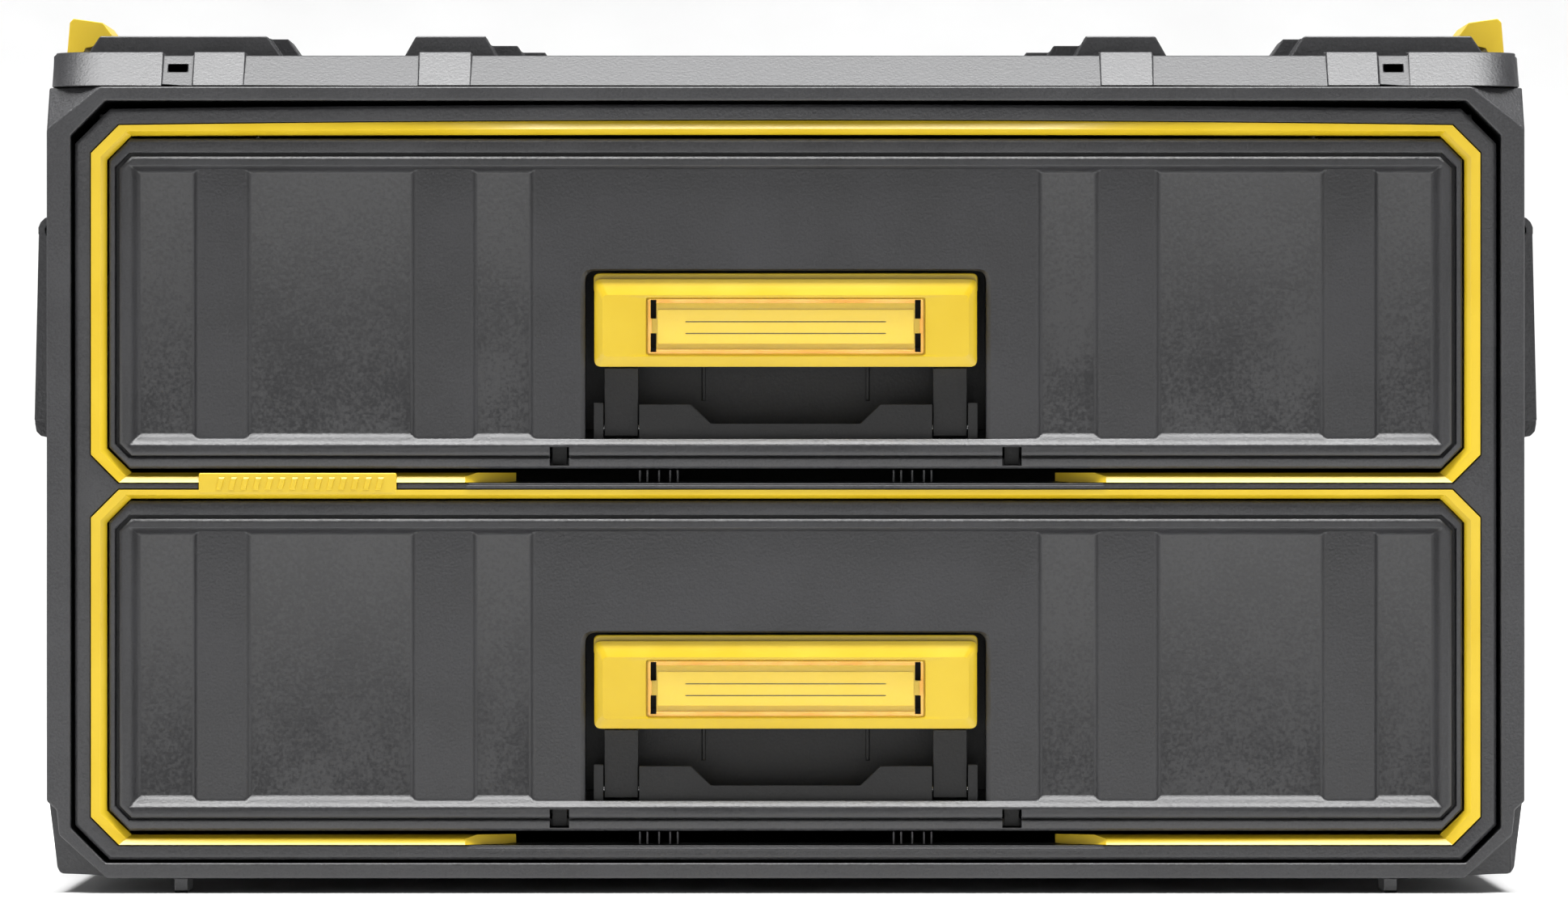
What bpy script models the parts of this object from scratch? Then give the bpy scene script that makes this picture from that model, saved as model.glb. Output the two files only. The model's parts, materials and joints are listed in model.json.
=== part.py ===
"""Two-drawer stacking tool box, as separate solids: metres, +Z up, the front faces -Y.

The origin is under the middle of the box, on the surface that it stands on. Depths are measured
backwards from the front face of the rim, and y_at() turns a depth into a Y coordinate.
"""
import math

import bmesh
import bpy
from mathutils import Matrix, Vector

# Driving dimensions
DEPTH = 0.371
BODY_HALF = 0.265
RIM_BOTTOM = 0.0054
BODY_BOTTOM = 0.0066
DECK_TOP = 0.2894
BODY_BACK = 0.3675
OPENING_HALF = 0.2565
OPENING_BOTTOM = 0.0109
OPENING_TOP = 0.2844
OPENING_CUT = 0.0125
CAVITY_BACK = 0.3630
DRAWER_PITCH = 0.130
SLIDE_HEIGHT = 0.2000

BLACK = (0.030, 0.030, 0.032)
DARK = (0.018, 0.018, 0.019)
YELLOW = (0.86, 0.60, 0.035)
STEEL = (0.55, 0.56, 0.58)
CLEAR = (0.85, 0.87, 0.88)
CARD = (0.88, 0.66, 0.10)

DRAWERS = {"upper": 0.0, "lower": -DRAWER_PITCH}
SIDES = {"left": -1.0, "right": 1.0}


def y_at(depth):
    return depth - DEPTH / 2


def material(name, colour, roughness, metallic=0.0):
    made = bpy.data.materials.get(name) or bpy.data.materials.new(name)
    made.use_nodes = True
    shader = made.node_tree.nodes["Principled BSDF"]
    shader.inputs["Base Color"].default_value = (*colour, 1.0)
    shader.inputs["Roughness"].default_value = roughness
    shader.inputs["Metallic"].default_value = metallic
    made.diffuse_color = (*colour, 1.0)
    return made


# Basic solids

def from_bmesh(name, mesh):
    bmesh.ops.recalc_face_normals(mesh, faces=mesh.faces)
    data = bpy.data.meshes.new(name)
    mesh.to_mesh(data)
    mesh.free()
    made = bpy.data.objects.new(name, data)
    bpy.context.collection.objects.link(made)
    return made


def lofted(name, rings, closed=False):
    """Skin a row of point rings of equal count; closed joins the last ring to the first."""
    mesh = bmesh.new()
    rows = [[mesh.verts.new(point) for point in ring] for ring in rings]
    count = len(rows[0])
    pairs = list(zip(rows, rows[1:]))
    if closed:
        pairs.append((rows[-1], rows[0]))
    for low, high in pairs:
        for index in range(count):
            after = (index + 1) % count
            mesh.faces.new((low[index], low[after], high[after], high[index]))
    if not closed:
        mesh.faces.new(rows[0][::-1])
        mesh.faces.new(rows[-1])
    return from_bmesh(name, mesh)


def prism_y(name, outline, near, far):
    """Extrude an (x, z) outline between two depths."""
    rings = [[(x, y_at(depth), z) for x, z in outline] for depth in (near, far)]
    return lofted(name, rings)


def prism_x(name, outline, low, high):
    """Extrude a (depth, z) outline between two x values."""
    rings = [[(x, y_at(depth), z) for depth, z in outline] for x in (low, high)]
    return lofted(name, rings)


def prism_z(name, outline, low, high):
    """Extrude an (x, depth) outline between two heights."""
    rings = [[(x, y_at(depth), z) for x, depth in outline] for z in (low, high)]
    return lofted(name, rings)


def box(name, x, depth, z):
    """A box from (low, high) pairs of x, depth and z."""
    outline = [(x[0], z[0]), (x[1], z[0]), (x[1], z[1]), (x[0], z[1])]
    return prism_y(name, outline, *depth)


def rod(name, axis, centre, radius, span, sides=12):
    """A round bar along X or Y; centre gives the other two coordinates (depth for y)."""
    angles = [2 * math.pi * (step + 0.5) / sides for step in range(sides)]
    circle = [(centre[0] + radius * math.cos(a), centre[1] + radius * math.sin(a)) for a in angles]
    if axis == "X":
        return prism_x(name, circle, *span)
    if axis == "Y":
        return prism_y(name, circle, *span)
    return prism_z(name, circle, *span)


def hull(name, points):
    mesh = bmesh.new()
    for point in points:
        mesh.verts.new(point)
    bmesh.ops.convex_hull(mesh, input=mesh.verts)
    return from_bmesh(name, mesh)


def coil(name, axis, start, centre, radius, wire, turns, pitch):
    """A torsion spring: a helix of round wire about an axis along X or Y, from a start along that axis."""
    steps = 10
    wire_sides = 5
    centres = []
    for step in range(turns * steps + 1):
        angle = 2 * math.pi * step / steps
        along = start + pitch * step / steps
        first = centre[0] + radius * math.cos(angle)
        second = centre[1] + radius * math.sin(angle)
        centres.append((along, first, second, angle))
    rings = []
    for along, first, second, angle in centres:
        ring = []
        for corner in range(wire_sides):
            turn = 2 * math.pi * corner / wire_sides
            out = wire * math.cos(turn)
            shift = wire * math.sin(turn)
            spot = (first + out * math.cos(angle), second + out * math.sin(angle))
            if axis == "X":
                ring.append((along + shift, y_at(spot[0]), spot[1]))
            else:
                ring.append((spot[0], y_at(along + shift), spot[1]))
        rings.append(ring)
    return lofted(name, rings)


# Combining solids

def combined(target, tools, operation):
    """Apply a Boolean with each tool in turn, then drop the tools."""
    for tool in tools:
        modifier = target.modifiers.new(operation, "BOOLEAN")
        modifier.operation = operation
        modifier.solver = "EXACT"
        modifier.object = tool
        graph = bpy.context.evaluated_depsgraph_get()
        result = bpy.data.meshes.new_from_object(target.evaluated_get(graph))
        target.modifiers.clear()
        target.data = result
        bpy.data.objects.remove(tool, do_unlink=True)
    return target


def cut(target, *tools):
    return combined(target, tools, "DIFFERENCE")


def join(target, *tools):
    return combined(target, tools, "UNION")


def dressed(made, look):
    made.data.materials.clear()
    made.data.materials.append(look)
    return made


def place_origin(made, point):
    """Move an object's origin to a point, such as one on its joint axis, and leave its mesh in place."""
    point = Vector(point)
    made.data.transform(Matrix.Translation(-point))
    made.location = point
    return made


# Outlines

def chamfered(half, bottom, top, cut_size, crown=0.0):
    """Front-view outline with corners cut at 45 degrees; crown lifts the middle of the top edge."""
    outline = [(-half + cut_size, bottom), (half - cut_size, bottom), (half, bottom + cut_size),
               (half, top - cut_size), (half - cut_size, top)]
    if crown:
        reach = half - cut_size
        outline += [(reach * t, top + crown * (1 - t * t)) for t in (0.6, 0.2, -0.2, -0.6)]
    outline += [(-half + cut_size, top), (-half, top - cut_size), (-half, bottom + cut_size)]
    return outline


def rounded(outline, radius, steps=3):
    """Round the corners of a convex (u, v) outline."""
    result = []
    count = len(outline)
    for index in range(count):
        corner = Vector(outline[index])
        before = (Vector(outline[index - 1]) - corner).normalized()
        after = (Vector(outline[(index + 1) % count]) - corner).normalized()
        half_angle = before.angle(after) / 2
        reach = radius / math.tan(half_angle)
        start, end = corner + before * reach, corner + after * reach
        for step in range(steps + 1):
            t = step / steps
            point = start * (1 - t) ** 2 + corner * 2 * t * (1 - t) + end * t ** 2
            result.append((point.x, point.y))
    return result


def mirrored(side, pair):
    """An (inner, outer) pair of distances from the middle, as ordered x values on one side."""
    return tuple(sorted((side * pair[0], side * pair[1])))


# The box

RIM_STEP = 0.0120


def both_sides(right):
    """Complete a half outline, given from its bottom to its top, with its mirror image."""
    return right + [(-x, z) for x, z in right[::-1]]


def housing_block():
    """The housing's outside: a rim with stepped and cut lower corners, and the plainer body behind it."""
    rim = both_sides([(0.2435, RIM_BOTTOM), (0.2606, 0.0210), (0.2615, 0.0300), (BODY_HALF, 0.0330),
                      (BODY_HALF, DECK_TOP)])
    body = both_sides([(0.2600, BODY_BOTTOM), (0.2612, 0.0074), (0.2620, 0.0090), (BODY_HALF, 0.0330),
                       (BODY_HALF, DECK_TOP)])
    tail = [(x * (1 - 0.0045 / BODY_HALF), z + (0.0030 if z < 0.02 else 0.0)) for x, z in body]
    steps = ((rim, 0.0), (rim, RIM_STEP), (body, RIM_STEP + 0.0001), (body, BODY_BACK - 0.0060),
             (tail, BODY_BACK))
    return lofted("housing", [[(x, y_at(depth), z) for x, z in outline] for outline, depth in steps])


FACET_REACH = (0.0196, 0.0150, 0.0154)


def corner_facet(side):
    """Cutter for the sloping facet on a top front corner: a corner-shaped tetrahedron, larger than the cut."""
    spread = 0.3
    corner = (BODY_HALF, y_at(0), DECK_TOP)
    points = [[-3 * spread * size for size in FACET_REACH]]
    for axis in range(3):
        local = [-spread * size for size in FACET_REACH]
        local[axis] = FACET_REACH[axis] * (1 + 2 * spread)
        points.append(local)
    placed = [(side * (corner[0] - u), corner[1] + v, corner[2] - w) for u, v, w in points]
    return hull("corner_facet", placed)


LATCH_DEPTH = (0.1200, 0.1900)
LATCH_AXIS = (0.2628, 0.2680)
HANDLE_AXIS = (0.2700, 0.2400)
HANDLE_DEPTH = (0.1105, 0.2595)
SIDE_POCKETS = ((0.0300, 0.0980), (0.1080, 0.2620), (0.2720, 0.3400))
POCKET_ROWS = ((0.0400, 0.1380), (0.1480, 0.2560))
LUG_POCKETS = ((0.0450, 0.1150), (0.2560, 0.2850))
LUG_POCKET_WIDTH = (0.1700, 0.2540)
LUG_POCKET_TOP = 0.0088
TAB_WIDTH = (0.2147, 0.2194)
FOOT_WIDTH = (0.1900, 0.2350)
BACK_PANEL_HALF = 0.0620
BACK_PANELS = (-0.150, 0.0, 0.150)
SCREW_HOLE = 0.0023
LATCH_BORE = 0.0017
SCREWS = {"front_left": (-0.205, 0.135), "front_right": (0.205, 0.135),
          "rear_left": (-0.205, 0.325), "rear_right": (0.205, 0.325)}


def add_feet(shell):
    """Thin tabs under the front and broad feet under the back."""
    tab = rounded([(0.0040, 0.0), (0.0400, 0.0), (0.0400, 0.0120), (0.0040, 0.0120)], 0.0012, 2)
    foot = [(0.2900, 0.0), (0.3710, 0.0), (0.3710, 0.0260), (0.3660, 0.0310), (0.2900, 0.0310)]
    for side in SIDES.values():
        join(shell, prism_x("tab", tab, *mirrored(side, TAB_WIDTH)))
        join(shell, prism_x("foot", foot, *mirrored(side, FOOT_WIDTH)))


def cut_pockets(shell):
    """Shallow panels in the sides and back, pockets underneath for another box's lugs, and latch pockets."""
    for side in SIDES.values():
        for near, far in SIDE_POCKETS:
            for low, high in POCKET_ROWS:
                cut(shell, box("pocket", mirrored(side, (0.2615, 0.2800)), (near, far), (low, high)))
        for near, far in LUG_POCKETS:
            cut(shell, box("lug_pocket", mirrored(side, LUG_POCKET_WIDTH), (near, far), (0.0, LUG_POCKET_TOP)))
        cut(shell, box("latch_pocket", mirrored(side, (0.2597, 0.2800)), (0.1170, 0.1930), (0.2625, 0.3000)))
    for x in BACK_PANELS:
        across = (x - BACK_PANEL_HALF, x + BACK_PANEL_HALF)
        cut(shell, box("back_panel", across, (0.3650, 0.3800), (0.0500, 0.2560)))


def build_housing():
    shell = housing_block()
    add_feet(shell)
    opening = chamfered(OPENING_HALF, OPENING_BOTTOM, OPENING_TOP, OPENING_CUT)
    cut(shell, prism_y("cavity", opening, -0.0100, CAVITY_BACK))
    for side in SIDES.values():
        cut(shell, corner_facet(side))
    cut_pockets(shell)
    for x, depth in SCREWS.values():
        cut(shell, rod("screw_hole", "Z", (x, depth), SCREW_HOLE, (0.2700, 0.3000), 10))
    for side in SIDES.values():
        axis = (side * LATCH_AXIS[0], LATCH_AXIS[1])
        cut(shell, rod("latch_bore", "Y", axis, LATCH_BORE, (0.1121, 0.1979), 8))
    return dressed(shell, material("black_plastic", BLACK, 0.50))


# The cover

COVER_HALF = 0.2644
COVER_TOP = 0.3011
FASCIA_FOOT = (0.0012, 0.2897)
FASCIA_TOP = (0.0160, COVER_TOP)
PAD_FOOT = (0.0004, 0.2897)
PAD_TOP = (0.0146, 0.3024)
PADS = ((0.2240, 0.2635), (0.1944, 0.2130), (0.1130, 0.1320))
CORNER_RADIUS = 0.0200
LUG_BASE = 0.3000
# Each lug's distances from the middle, its depths, its top and how far its ends slope
LUGS = (((0.1875, 0.2480), (0.0350, 0.0620), 0.3088, 0.0060),
        ((0.1810, 0.2480), (0.0600, 0.1080), 0.3086, 0.0060),
        ((0.1086, 0.1337), (0.0350, 0.0620), 0.3088, 0.0050),
        ((0.0975, 0.1320), (0.0600, 0.0850), 0.3062, 0.0040),
        ((0.0880, 0.1300), (0.0830, 0.1080), 0.3046, 0.0030),
        ((0.1810, 0.2480), (0.2650, 0.3100), 0.3086, 0.0060))
TRAY_RIBS = (-0.1070, -0.0535, 0.0, 0.0535, 0.1070)


def cover_shell():
    """The cover's outside with its hollow underside, and solid front corners to round off."""
    profile = [FASCIA_FOOT, FASCIA_TOP, (0.3580, COVER_TOP), (0.3665, 0.2960), (0.3665, 0.2897)]
    inside = [(0.0060, 0.2850), (0.0060, 0.2905), (0.0175, 0.2985), (0.3560, 0.2985), (0.3625, 0.2950),
              (0.3625, 0.2850)]
    cover = prism_x("top_cover", profile, -COVER_HALF, COVER_HALF)
    cut(cover, prism_x("inside", inside, -0.2610, 0.2610))
    filled = [(0.0050, 0.2897), (0.0170, 0.2990), (0.0290, 0.2990), (0.0290, 0.2897)]
    for side in SIDES.values():
        join(cover, prism_x("corner_fill", filled, *mirrored(side, (0.2410, 0.2620))))
    return cover


def cover_pad(span):
    """A raised band on the fascia that runs back on to the top."""
    profile = [PAD_FOOT, PAD_TOP, (0.0400, 0.3024), (0.0420, 0.3000), (0.0200, 0.2995), (0.0060, 0.2897)]
    return prism_x("pad", profile, *span)


def corner_round(side):
    """Cutter that rounds a front corner of the cover in plan, moving back with the fascia's slope."""
    slope = (PAD_TOP[0] - PAD_FOOT[0]) / (PAD_TOP[1] - PAD_FOOT[1])
    arc = [math.radians(15 * step) for step in range(7)]
    inner = COVER_HALF - CORNER_RADIUS
    rings = []
    for z in (0.2880, 0.3050):
        face = PAD_FOOT[0] + slope * (z - PAD_FOOT[1])
        outline = [(inner + CORNER_RADIUS * math.sin(a), face + CORNER_RADIUS * (1 - math.cos(a)))
                   for a in arc]
        outline += [(0.2800, face + CORNER_RADIUS), (0.2800, -0.0300), (inner, -0.0300)]
        rings.append([(side * x, y_at(depth), z) for x, depth in outline])
    return lofted("corner_round", rings)


def lug(side, span, depth, top, slope):
    """A stacking lug: a flat-topped block whose ends slope."""
    low, high = span
    outline = [(low - slope, LUG_BASE), (high + slope, LUG_BASE), (high, top), (low, top)]
    return prism_y("lug", [(side * x, z) for x, z in outline], *depth)


def cut_tray(cover):
    """The shallow tray in the top, with its ribs, and the channels round it."""
    cut(cover, box("tray", (-0.1600, 0.1600), (0.1250, 0.3350), (0.3000, 0.3200)))
    for x in TRAY_RIBS:
        join(cover, box("tray_rib", (x - 0.0030, x + 0.0030), (0.1240, 0.3360), (0.2992, COVER_TOP)))
    for side in SIDES.values():
        wide, narrow = mirrored(side, (0.0080, 0.0780)), mirrored(side, (0.1750, 0.2380))
        cut(cover, box("side_channel", narrow, (0.1450, 0.2500), (0.3000, 0.3200)))
        cut(cover, box("front_channel", wide, (0.0350, 0.1050), (0.3000, 0.3200)))


def build_cover():
    cover = cover_shell()
    slot = [(-0.0100, 0.2949), (-0.0100, 0.2978), (0.0300, 0.2978), (0.0300, 0.2949)]
    for side in SIDES.values():
        for pad in PADS:
            join(cover, cover_pad(mirrored(side, pad)))
        cut(cover, corner_round(side))
        cut(cover, prism_x("slot", slot, *mirrored(side, (0.2150, 0.2220))))
        for size in LUGS:
            join(cover, lug(side, *size))
        join(cover, box("rail", mirrored(side, (0.2520, 0.2635)), (0.0380, 0.3550), (LUG_BASE, 0.3024)))
        cut(cover, box("latch_notch", mirrored(side, (0.2590, 0.2800)), (0.1170, 0.1930), (0.2800, 0.3100)))
    cut_tray(cover)
    for x, depth in SCREWS.values():
        cut(cover, rod("screw_hole", "Z", (x, depth), SCREW_HOLE + 0.0001, (0.2800, 0.3200), 10))
    return dressed(cover, material("black_plastic", BLACK, 0.50))


def build_screw(place):
    x, depth = SCREWS[place]
    screw = rod("cover_screw_" + place, "Z", (x, depth), 0.0019, (0.2750, 0.3020), 10)
    join(screw, rod("head", "Z", (x, depth), 0.0042, (0.3015, 0.3035), 12))
    cut(screw, rod("socket", "Z", (x, depth), 0.0018, (0.3024, 0.3050), 6))
    return dressed(screw, material("screw_steel", STEEL, 0.35, 1.0))


# The yellow trim and the black frame round the drawers

SILL_FRONT = 0.1150
SILL_BACK = 0.0970
RAIL_BLOCK = ((-0.2106, -0.1396), (0.1432, 0.1508))
RING_OUTER = 0.2492
RING_INNER = 0.2436
# Outer bottom, outer top at the corners, the crown of that top edge, and the inner top
RINGS = {"upper": (0.1474, 0.2756, 0.0017, 0.2718), "lower": (0.0174, 0.1448, 0.0, 0.1416)}


def ring_rows(bottom, top, crown, inner_top):
    """A trim ring's outlines and depths: outer front, inner front, inner middle, inner and outer back."""
    inner = (RING_INNER, bottom + 0.0035, inner_top, 0.0087, crown / 4)
    return [((RING_OUTER, bottom, top, 0.0100, crown), 0.0015),
            ((0.2459, bottom + 0.0027, inner_top + 0.0010, 0.0093, crown / 2), 0.0015),
            (inner, 0.0080),
            (inner, 0.0140),
            ((RING_OUTER, bottom, top, 0.0100, crown), 0.0140)]


def with_crown(outline_sizes):
    """A ring outline, whose straight top still gets the same points when its crown is zero."""
    half, bottom, top, cut_size, crown = outline_sizes
    return chamfered(half, bottom, top, cut_size, crown or 1e-9)


def build_trim():
    """The yellow rings: one casting, joined by a block on the mid rail, open at the finger sills."""
    rings = []
    for sizes in RINGS.values():
        rows = [[(x, y_at(depth), z) for x, z in with_crown(outline)] for outline, depth in ring_rows(*sizes)]
        rings.append(lofted("drawer_trim", rows, closed=True))
    trim = rings[0]
    join(trim, rings[1])
    across, height = RAIL_BLOCK
    join(trim, box("rail_block", across, (0.0012, 0.0135), height))
    for shift in DRAWERS.values():
        taper = [(-SILL_FRONT, -0.0050), (SILL_FRONT, -0.0050), (SILL_FRONT, 0.0015), (SILL_BACK, 0.0123),
                 (SILL_BACK, 0.0200), (-SILL_BACK, 0.0200), (-SILL_BACK, 0.0123), (-SILL_FRONT, 0.0015)]
        cut(trim, prism_z("sill_gap", taper, 0.1460 + shift, 0.1512 + shift))
    return dressed(trim, material("yellow_plastic", YELLOW, 0.38))


def finger_sill(shift):
    """A ledge that slopes up towards the back, narrowing with the trim's gap."""
    corners = ((0.1146, 0.0012, 0.1452), (0.1146, 0.0012, 0.1462), (0.0964, 0.0116, 0.1452),
               (0.0964, 0.0116, 0.1479))
    points = [(side * x, y_at(depth), z + shift) for side in SIDES.values() for x, depth, z in corners]
    return hull("sill", points)


def build_bezel():
    """The black frame round both drawers, with its mid rail and a sloping finger sill under each drawer."""
    outer = chamfered(0.2550, 0.0120, 0.2815, 0.0125, 0.0016)
    bezel = prism_y("front_bezel", outer, 0.0022, 0.0140)
    clear = 0.0003
    for bottom, top, crown, _ in RINGS.values():
        opening = chamfered(RING_OUTER + clear, bottom - clear, top + clear, 0.0100, crown)
        cut(bezel, prism_y("ring_opening", opening, -0.0100, 0.0200))
    (left, right), (low, high) = RAIL_BLOCK
    cut(bezel, box("block_gap", (left - clear, right + clear), (-0.0100, 0.0200), (low - clear, high + clear)))
    for shift in DRAWERS.values():
        join(bezel, finger_sill(shift))
    return dressed(bezel, material("black_plastic", BLACK, 0.50))


CHASSIS_DEPTH = (0.0150, 0.3600)
STIFFENER_REACH = (0.2465, 0.2560)
STIFFENER_OFFSET = 0.0320
STIFFENER_HALF = 0.0015


def build_chassis(side_name):
    """The side frame that carries the slides: a plate with stiffeners out to the housing's wall."""
    side = SIDES[side_name]
    reach = mirrored(side, STIFFENER_REACH)
    near, far = CHASSIS_DEPTH
    plate = box("chassis_" + side_name, mirrored(side, (0.2442, 0.2470)), CHASSIS_DEPTH, (0.0150, 0.2800))
    for shift in DRAWERS.values():
        for offset in (-STIFFENER_OFFSET, STIFFENER_OFFSET):
            height = SLIDE_HEIGHT + shift + offset
            span = (height - STIFFENER_HALF, height + STIFFENER_HALF)
            join(plate, box("stiffener", reach, CHASSIS_DEPTH, span))
    for depth in (near, far - 0.0040):
        join(plate, box("post", reach, (depth, depth + 0.0040), (0.0300, 0.2650)))
    return dressed(plate, material("dark_plastic", DARK, 0.60))


# Drawer slides: three nested steel channels a side

def channel(name, side, web, flange, half_height, depth, shift, thickness=0.0014):
    """A C-shaped rail; web and flange are its distances from the middle, and the flanges run between them."""
    height = SLIDE_HEIGHT + shift
    near, far = web, flange
    step = thickness if far > near else -thickness
    profile = [(near, -half_height), (far, -half_height), (far, -half_height + thickness),
               (near + step, -half_height + thickness), (near + step, half_height - thickness),
               (far, half_height - thickness), (far, half_height), (near, half_height)]
    rail = prism_y(name, [(side * x, height + z) for x, z in profile], *depth)
    return dressed(rail, material("zinc_steel", STEEL, 0.35, 1.0))


# Each channel's web, the reach of its flanges, half its height and its depths
SLIDES = {"outer": (0.2437, 0.2345, 0.0220, (0.0180, 0.3360)),
          "middle": (0.2400, 0.2330, 0.0180, (0.0190, 0.3340)),
          "inner": (0.2303, 0.2375, 0.0150, (0.0150, 0.3320))}


def build_slides(drawer, shift):
    for name, side in SIDES.items():
        for place, size in SLIDES.items():
            channel(f"{drawer}_slide_{place}_{name}", side, *size, shift)


# Drawers

FRONT_HALF = 0.2428
PANEL_HALF = 0.2391
PANEL_BACK = 0.0077
RECESS_HALF = 0.0719
RECESS_BOTTOM = 0.1635
RECESS_TOP = 0.2235
PULL_AXIS = (0.0130, 0.1670)
PULL_BORE = 0.0016
TONGUE_SLOT = (0.0777, 0.0847)
LATCH_BAY = {"half": 0.0950, "back": 0.0385, "bottom": 0.1575, "top": 0.2295}
BAY_WALL = 0.0025
BIN_FLOOR = 0.1560
BIN_FRONT = 0.0105
BIN_BACK = 0.3500
BIN_WALL = 0.0025
BIN_HALF = 0.2300


def tongue_slots(shift, depth, height):
    """Cutters for the two slots that the latch tongues pass through."""
    span = (height[0] + shift, height[1] + shift)
    return [box("tongue_slot", mirrored(side, TONGUE_SLOT), depth, span) for side in SIDES.values()]


def storage_space(shift):
    """Cutter for the inside of the tray, whose side walls meet the floor in a slope."""
    half, slope = BIN_HALF - BIN_WALL, 0.0040
    floor = BIN_FLOOR + shift
    outline = [(-half + slope, floor), (half - slope, floor), (half, floor + slope), (half, 0.2800 + shift),
               (-half, 0.2800 + shift), (-half, floor + slope)]
    return prism_y("storage", outline, BIN_FRONT, BIN_BACK - BIN_WALL)


def build_bin(drawer, shift):
    """The drawer tray and its front flange, with a window in the front wall for the pull and its latch."""
    tray = box(drawer + "_bin", (-BIN_HALF, BIN_HALF), (0.0085, BIN_BACK), (0.1535 + shift, 0.2620 + shift))
    flange = chamfered(FRONT_HALF, 0.1524 + shift, 0.2708 + shift, 0.0076)
    join(tray, prism_y("flange", flange, 0.0025, BIN_FRONT))
    cut(tray, storage_space(shift))
    seat = chamfered(0.2405, 0.1563 + shift, 0.2657 + shift, 0.0050)
    cut(tray, prism_y("panel_seat", seat, -0.0100, 0.0080))
    half = LATCH_BAY["half"]
    height = (LATCH_BAY["bottom"] + shift, LATCH_BAY["top"] + shift)
    cut(tray, box("window", (-half, half), (0.0050, 0.0200), height))
    cut(tray, *tongue_slots(shift, (-0.0100, 0.0300), (0.1534, 0.1650)))
    return dressed(tray, material("black_plastic", BLACK, 0.50))


def build_latch_cover(drawer, shift):
    """The cover inside the drawer that closes the latch parts off from what is stored."""
    half, back = LATCH_BAY["half"], LATCH_BAY["back"]
    outer = half + BAY_WALL
    top = LATCH_BAY["top"] + shift
    front = BIN_FRONT + 0.0003
    cover = box(drawer + "_latch_cover", (-outer, outer), (front, back + BAY_WALL),
                (BIN_FLOOR + 0.0003 + shift, top + BAY_WALL))
    cut(cover, box("bay", (-half, half), (0.0, back), (0.1500 + shift, top)))
    return dressed(cover, material("black_plastic", BLACK, 0.50))


BORDER = 0.0018
FLOOR = 0.0060
RIB = 0.0040
RIB_BEVEL = 0.00085
RELIEF_BOTTOM = 0.1611
RELIEF_TOP = 0.2610
RELIEF_SIDE = (0.2354, 0.2320)
# Where the face steps between floor and rib, from the side inwards
RIB_EDGES = (0.2118, 0.1931, 0.1335, 0.1119, 0.0910)
FOOT_SLOPE = 1.167
HEAD_SLOPE = 1.91


def panel_relief(shift):
    """Cutter for the sunk face of a front panel: grained floors between raised ribs and a raised middle."""
    edge, foot = RELIEF_SIDE
    half = [(edge, BORDER), (foot, FLOOR)]
    levels = (FLOOR, RIB)
    for step, place in enumerate(RIB_EDGES):
        outside, inside = levels[step % 2], levels[(step + 1) % 2]
        half += [(place + RIB_BEVEL, outside), (place - RIB_BEVEL, inside)]
    columns = half + [(-x, depth) for x, depth in half[::-1]]
    front = -0.0050
    bottom, top = RELIEF_BOTTOM + shift, RELIEF_TOP + shift
    rings = []
    for x, depth in columns:
        sunk = max(depth - BORDER, 0.0001)
        section = [(front, bottom), (BORDER, bottom), (BORDER + sunk, bottom + sunk / FOOT_SLOPE),
                   (BORDER + sunk, top - sunk / HEAD_SLOPE), (BORDER, top), (front, top)]
        rings.append([(x, y_at(d), z) for d, z in section])
    return lofted("relief", rings)


def build_panel(drawer, shift):
    outline = chamfered(PANEL_HALF, 0.1570 + shift, 0.2644 + shift, 0.0044)
    panel = prism_y(drawer + "_front_panel", outline, BORDER, PANEL_BACK)
    cut(panel, panel_relief(shift))
    recess = rounded([(-RECESS_HALF, RECESS_BOTTOM + shift), (RECESS_HALF, RECESS_BOTTOM + shift),
                      (RECESS_HALF, RECESS_TOP + shift), (-RECESS_HALF, RECESS_TOP + shift)], 0.0030, 2)
    cut(panel, prism_y("recess", recess, -0.0100, 0.0200))
    cut(panel, *tongue_slots(shift, (-0.0100, 0.0200), (0.1500, 0.1601)))
    return dressed(panel, material("black_plastic", BLACK, 0.50))


def build_pocket(drawer, shift):
    """The tub behind the pull: its top, sides and back."""
    tub = box(drawer + "_pocket_liner", (-0.0737, 0.0737), (0.0083, 0.0320),
              (0.1662 + shift, 0.2253 + shift))
    cut(tub, box("tub_inside", (-0.0722, 0.0722), (0.0, 0.0300), (0.1600 + shift, 0.2238 + shift)))
    for side in SIDES.values():
        join(tub, box("back_rib", mirrored(side, (0.0290, 0.0302)), (0.0292, 0.0305),
                      (0.1770 + shift, 0.2230 + shift)))
    return dressed(tub, material("dark_plastic", DARK, 0.60))


def build_bracket(drawer, shift):
    """The pull's pivot bracket, with the shaped sill in front of it."""
    base = box(drawer + "_pull_bracket", (-0.0690, 0.0690), (0.0083, 0.0165), (0.1615 + shift, 0.1630 + shift))
    profile = [(-0.0527, 0.1620), (0.0527, 0.1620), (0.0527, 0.1755), (0.0340, 0.1755), (0.0267, 0.1685),
               (-0.0267, 0.1685), (-0.0340, 0.1755), (-0.0527, 0.1755)]
    join(base, prism_y("sill", [(x, z + shift) for x, z in profile], 0.0083, 0.0094))
    for side in SIDES.values():
        join(base, box("block", mirrored(side, (0.0655, 0.0690)), (0.0083, 0.0165),
                       (0.1622 + shift, 0.1760 + shift)))
    axis = (PULL_AXIS[0], PULL_AXIS[1] + shift)
    cut(base, rod("pin_bore", "X", axis, PULL_BORE, (-0.0800, 0.0800)))
    return dressed(base, material("dark_plastic", DARK, 0.60))


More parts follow.
